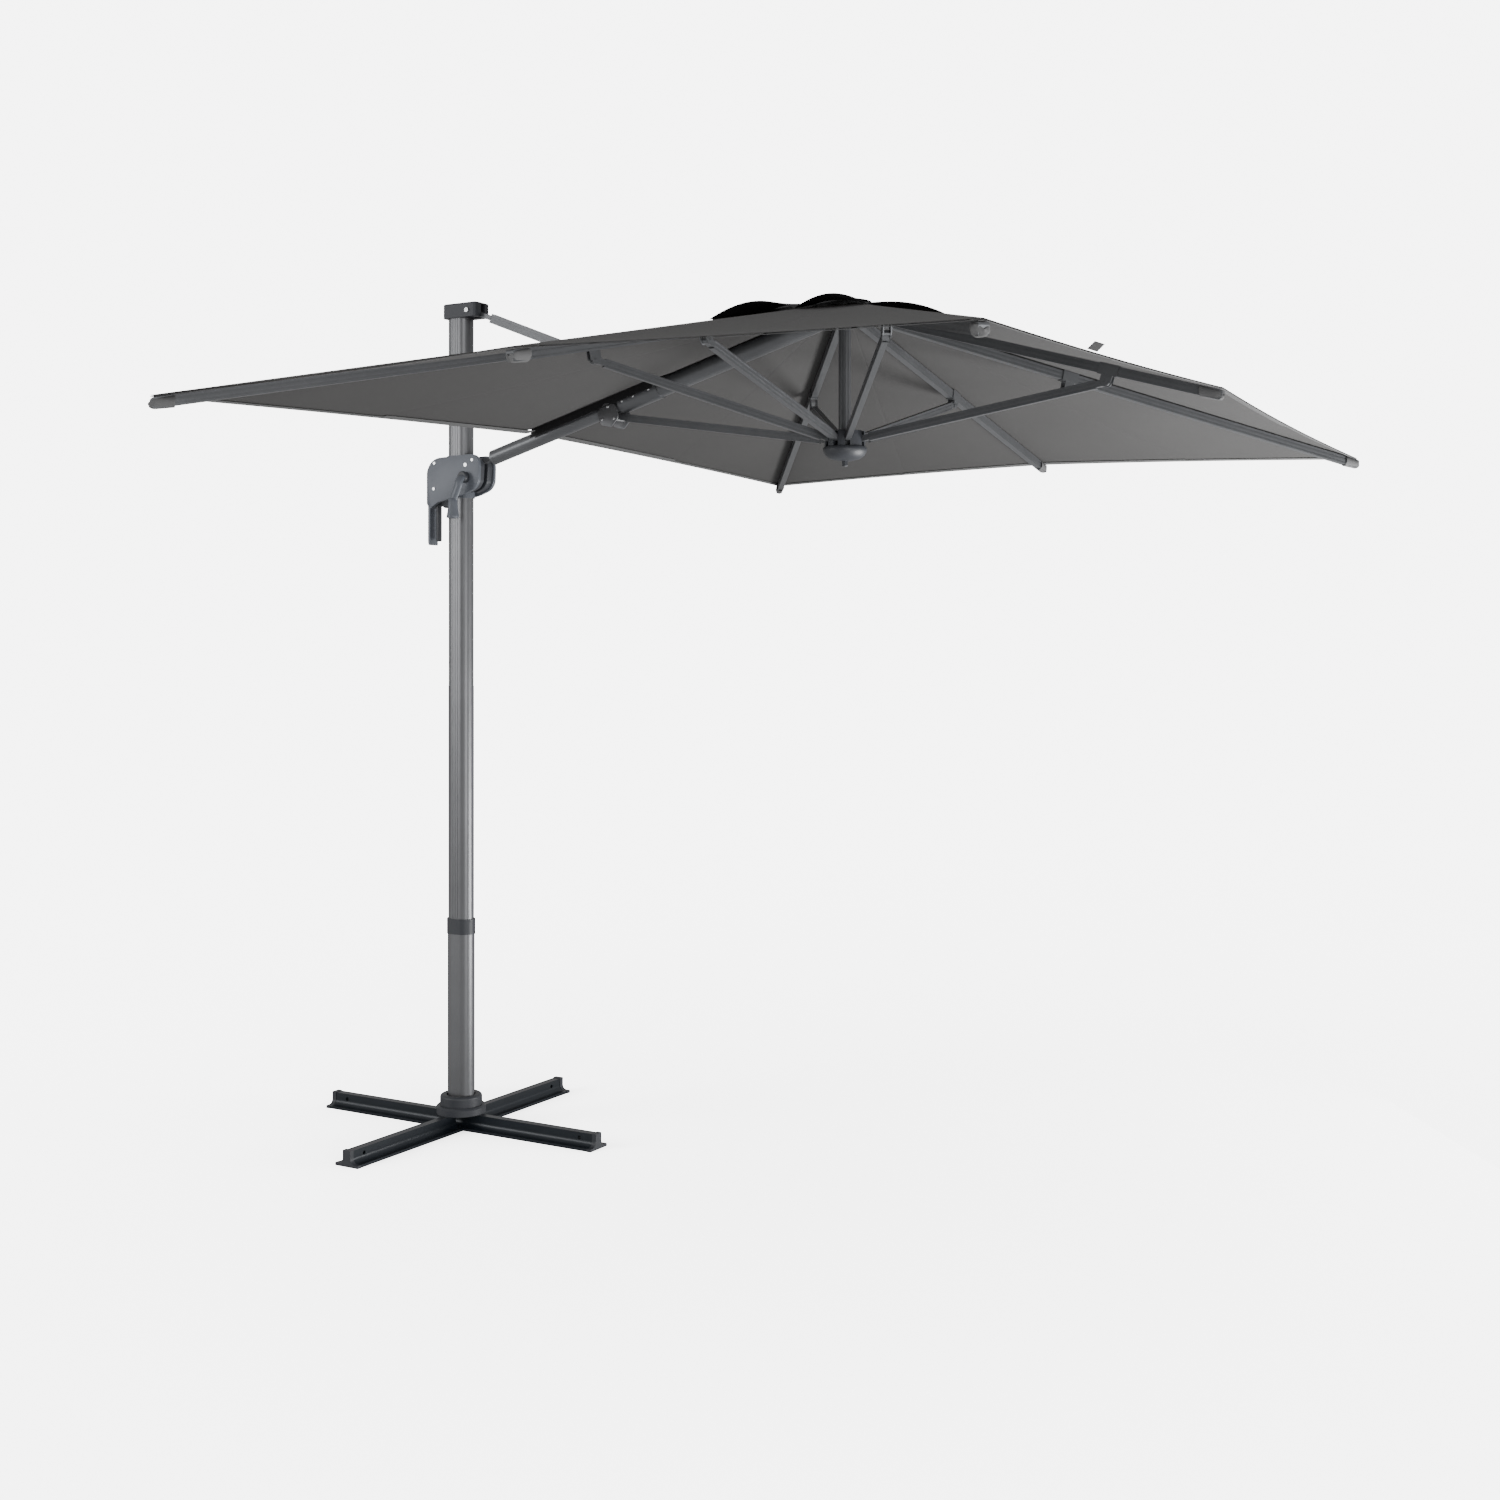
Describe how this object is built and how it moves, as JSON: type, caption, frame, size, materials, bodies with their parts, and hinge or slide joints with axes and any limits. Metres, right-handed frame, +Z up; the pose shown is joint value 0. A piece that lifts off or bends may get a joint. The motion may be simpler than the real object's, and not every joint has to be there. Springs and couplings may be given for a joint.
{
  "type": "cantilever parasol",
  "caption": "Rectangular cantilever parasol: a canopy on ribs and struts hung from a folding boom and top arm on a side mast with a slider, crank and cross base.",
  "frame": {"origin": "the mast's axis on the floor, under the cross base", "axes": "+Z up, +X from the mast towards the canopy's centre along the boom, +Y across the boom"},
  "size_m": [2.8666, 2.973, 2.513],
  "materials": {
    "charcoal_frame": "satin",
    "mast_paint": "satin",
    "base_paint": "satin",
    "grey_plastic": "matte",
    "black_plastic": "matte",
    "bright_steel": "satin",
    "canopy_fabric": "matte"
  },
  "bodies": {
    "base": {"base_bar_long": "base_paint", "base_bars_short": "base_paint", "base_end_caps": "black_plastic", "foot_socket": "base_paint", "base_bolts": "bright_steel", "base_cover": "black_plastic"},
    "mast": {"mast_lower_tube": "mast_paint", "mast_swivel_bush": "black_plastic", "mast_collar": "black_plastic", "mast_upper_tube": "mast_paint", "mast_top_cap": "black_plastic", "top_pivot_bolt": "bright_steel"},
    "top_arm": {"top_arm": "charcoal_frame"},
    "boom": {"boom_lower_tube": "charcoal_frame", "boom_upper_tube": "charcoal_frame", "boom_sleeve": "charcoal_frame", "boom_arm_bracket": "charcoal_frame", "boom_strut_bracket": "charcoal_frame", "boom_end_tongue": "charcoal_frame", "canopy_boom": "canopy_fabric"},
    "slider": {"slider_guide": "grey_plastic", "slider_front_shell": "grey_plastic", "slider_rear_shell": "grey_plastic", "slider_screws": "bright_steel"},
    "release_lever": {"release_lever": "black_plastic"},
    "crank": {"crank_handle": "charcoal_frame", "crank_grip": "black_plastic"},
    "hub": {"hub_crown": "black_plastic", "vent_canopy": "canopy_fabric"},
    "runner": {"runner_hub": "black_plastic", "centre_pole": "charcoal_frame"},
    "rib_right_front": {"rib_right_front": "charcoal_frame", "bracket_right_front": "charcoal_frame", "canopy_right_front": "canopy_fabric"},
    "strut_right_front": {"strut_right_front": "charcoal_frame"},
    "rib_right": {"rib_right": "charcoal_frame", "bracket_right": "charcoal_frame", "canopy_right": "canopy_fabric"},
    "strut_right": {"strut_right": "charcoal_frame"},
    "rib_right_rear": {"rib_right_rear": "charcoal_frame", "bracket_right_rear": "charcoal_frame", "canopy_right_rear": "canopy_fabric"},
    "strut_right_rear": {"strut_right_rear": "charcoal_frame"},
    "rib_left_rear": {"rib_left_rear": "charcoal_frame", "bracket_left_rear": "charcoal_frame", "canopy_left_rear": "canopy_fabric"},
    "strut_left_rear": {"strut_left_rear": "charcoal_frame"},
    "rib_left": {"rib_left": "charcoal_frame", "bracket_left": "charcoal_frame", "canopy_left": "canopy_fabric"},
    "strut_left": {"strut_left": "charcoal_frame"},
    "rib_left_front": {"rib_left_front": "charcoal_frame", "bracket_left_front": "charcoal_frame", "canopy_left_front": "canopy_fabric"},
    "strut_left_front": {"strut_left_front": "charcoal_frame"},
    "rib_front": {"rib_front": "charcoal_frame", "bracket_front": "charcoal_frame", "canopy_front": "canopy_fabric"},
    "strut_front": {"strut_front": "charcoal_frame"},
    "strut_boom": {"strut_boom": "charcoal_frame"}
  },
  "joints": [
    {"name": "mast_swivel", "type": "hinge", "parent": "base", "child": "mast", "pos_m": [0, 0, 0.1], "axis": [0, 0, 1], "continuous": true},
    {"name": "fold", "type": "hinge", "parent": "mast", "child": "top_arm", "pos_m": [0.05, 0, 2.488], "axis": [0, 1, 0], "range_deg": [0, 59], "deforming": ["canopy_right_front", "canopy_right", "canopy_right_rear", "canopy_left_rear", "canopy_left", "canopy_left_front", "canopy_front", "canopy_boom", "vent_canopy"]},
    {"name": "boom_pivot", "type": "hinge", "parent": "top_arm", "child": "boom", "pos_m": [0.653, 0, 2.253], "axis": [0, 1, 0], "range_deg": [-118.01, 0]},
    {"name": "slider_pivot", "type": "hinge", "parent": "boom", "child": "slider", "pos_m": [0.05, 0, 2.018], "axis": [0, 1, 0], "range_deg": [0, 59.01]},
    {"name": "crank_turn", "type": "hinge", "parent": "slider", "child": "crank", "pos_m": [0.05, -0.056, 1.98], "axis": [0, -1, 0], "continuous": true},
    {"name": "lever_squeeze", "type": "hinge", "parent": "slider", "child": "release_lever", "pos_m": [-0.078, 0, 1.95], "axis": [0, 1, 0], "range_deg": [0, 4], "stiffness_Nm_per_rad": 2},
    {"name": "hub_pivot", "type": "hinge", "parent": "boom", "child": "hub", "pos_m": [1.273, 0, 2.366], "axis": [0, 1, 0], "range_deg": [0, 56]},
    {"name": "rib_right_front_pivot", "type": "hinge", "parent": "hub", "child": "rib_right_front", "pos_m": [1.3437, -0.03694, 2.372], "axis": [0.8208, 0.5712, 0], "range_deg": [0, 70.01]},
    {"name": "strut_right_front_pivot", "type": "hinge", "parent": "rib_right_front", "child": "strut_right_front", "pos_m": [1.7285, -0.58985, 2.201], "axis": [0.8208, 0.5712, 0], "range_deg": [-140.01, 0]},
    {"name": "rib_right_pivot", "type": "hinge", "parent": "hub", "child": "rib_right", "pos_m": [1.318, -0.045, 2.372], "axis": [1, 0, 0], "range_deg": [0, 70.01]},
    {"name": "strut_right_pivot", "type": "hinge", "parent": "rib_right", "child": "strut_right", "pos_m": [1.318, -0.71864, 2.201], "axis": [1, 0, 0], "range_deg": [-140.01, 0]},
    {"name": "rib_right_rear_pivot", "type": "hinge", "parent": "hub", "child": "rib_right_rear", "pos_m": [1.29229, -0.03694, 2.372], "axis": [0.8208, -0.5712, 0], "range_deg": [0, 70.01]},
    {"name": "strut_right_rear_pivot", "type": "hinge", "parent": "rib_right_rear", "child": "strut_right_rear", "pos_m": [0.9075, -0.58985, 2.201], "axis": [0.8208, -0.5712, 0], "range_deg": [-140.01, 0]},
    {"name": "rib_left_rear_pivot", "type": "hinge", "parent": "hub", "child": "rib_left_rear", "pos_m": [1.29229, 0.03694, 2.372], "axis": [-0.8208, -0.5712, 0], "range_deg": [0, 70.01]},
    {"name": "strut_left_rear_pivot", "type": "hinge", "parent": "rib_left_rear", "child": "strut_left_rear", "pos_m": [0.9075, 0.58985, 2.201], "axis": [-0.8208, -0.5712, 0], "range_deg": [-140.01, 0]},
    {"name": "rib_left_pivot", "type": "hinge", "parent": "hub", "child": "rib_left", "pos_m": [1.318, 0.045, 2.372], "axis": [-1, 0, 0], "range_deg": [0, 70.01]},
    {"name": "strut_left_pivot", "type": "hinge", "parent": "rib_left", "child": "strut_left", "pos_m": [1.318, 0.71864, 2.201], "axis": [-1, 0, 0], "range_deg": [-140.01, 0]},
    {"name": "runner_pivot", "type": "hinge", "parent": "strut_left", "child": "runner", "pos_m": [1.318, 0.045, 2.03], "axis": [-1, 0, 0], "range_deg": [0, 70.01]},
    {"name": "rib_left_front_pivot", "type": "hinge", "parent": "hub", "child": "rib_left_front", "pos_m": [1.3437, 0.03694, 2.372], "axis": [-0.8208, 0.5712, 0], "range_deg": [0, 70.01]},
    {"name": "strut_left_front_pivot", "type": "hinge", "parent": "rib_left_front", "child": "strut_left_front", "pos_m": [1.7285, 0.58985, 2.201], "axis": [-0.8208, 0.5712, 0], "range_deg": [-140.01, 0]},
    {"name": "rib_front_pivot", "type": "hinge", "parent": "hub", "child": "rib_front", "pos_m": [1.363, 0, 2.366], "axis": [0, 1, 0], "range_deg": [0, 56]},
    {"name": "strut_front_pivot", "type": "hinge", "parent": "rib_front", "child": "strut_front", "pos_m": [2.053, 0, 2.135], "axis": [0, 1, 0], "range_deg": [-122.88, 0]},
    {"name": "strut_boom_pivot", "type": "hinge", "parent": "boom", "child": "strut_boom", "pos_m": [0.583, 0, 2.135], "axis": [0, -1, 0], "range_deg": [-122.88, 0]}
  ],
  "couplings": [
    {"joint": "boom_pivot", "follows": "fold", "ratio": -2},
    {"joint": "slider_pivot", "follows": "fold", "ratio": 1},
    {"joint": "hub_pivot", "follows": "fold", "ratio": 0.94905},
    {"joint": "rib_right_front_pivot", "follows": "fold", "ratio": 1.1864},
    {"joint": "strut_right_front_pivot", "follows": "fold", "ratio": -2.3729},
    {"joint": "rib_right_pivot", "follows": "fold", "ratio": 1.1864},
    {"joint": "strut_right_pivot", "follows": "fold", "ratio": -2.3729},
    {"joint": "rib_right_rear_pivot", "follows": "fold", "ratio": 1.1864},
    {"joint": "strut_right_rear_pivot", "follows": "fold", "ratio": -2.3729},
    {"joint": "rib_left_rear_pivot", "follows": "fold", "ratio": 1.1864},
    {"joint": "strut_left_rear_pivot", "follows": "fold", "ratio": -2.3729},
    {"joint": "rib_left_pivot", "follows": "fold", "ratio": 1.1864},
    {"joint": "strut_left_pivot", "follows": "fold", "ratio": -2.3729},
    {"joint": "runner_pivot", "follows": "fold", "ratio": 1.1864},
    {"joint": "rib_left_front_pivot", "follows": "fold", "ratio": 1.1864},
    {"joint": "strut_left_front_pivot", "follows": "fold", "ratio": -2.3729},
    {"joint": "rib_front_pivot", "follows": "fold", "ratio": 0.94905},
    {"joint": "strut_front_pivot", "follows": "fold", "ratio": -2.0826},
    {"joint": "strut_boom_pivot", "follows": "fold", "ratio": -2.0826}
  ]
}
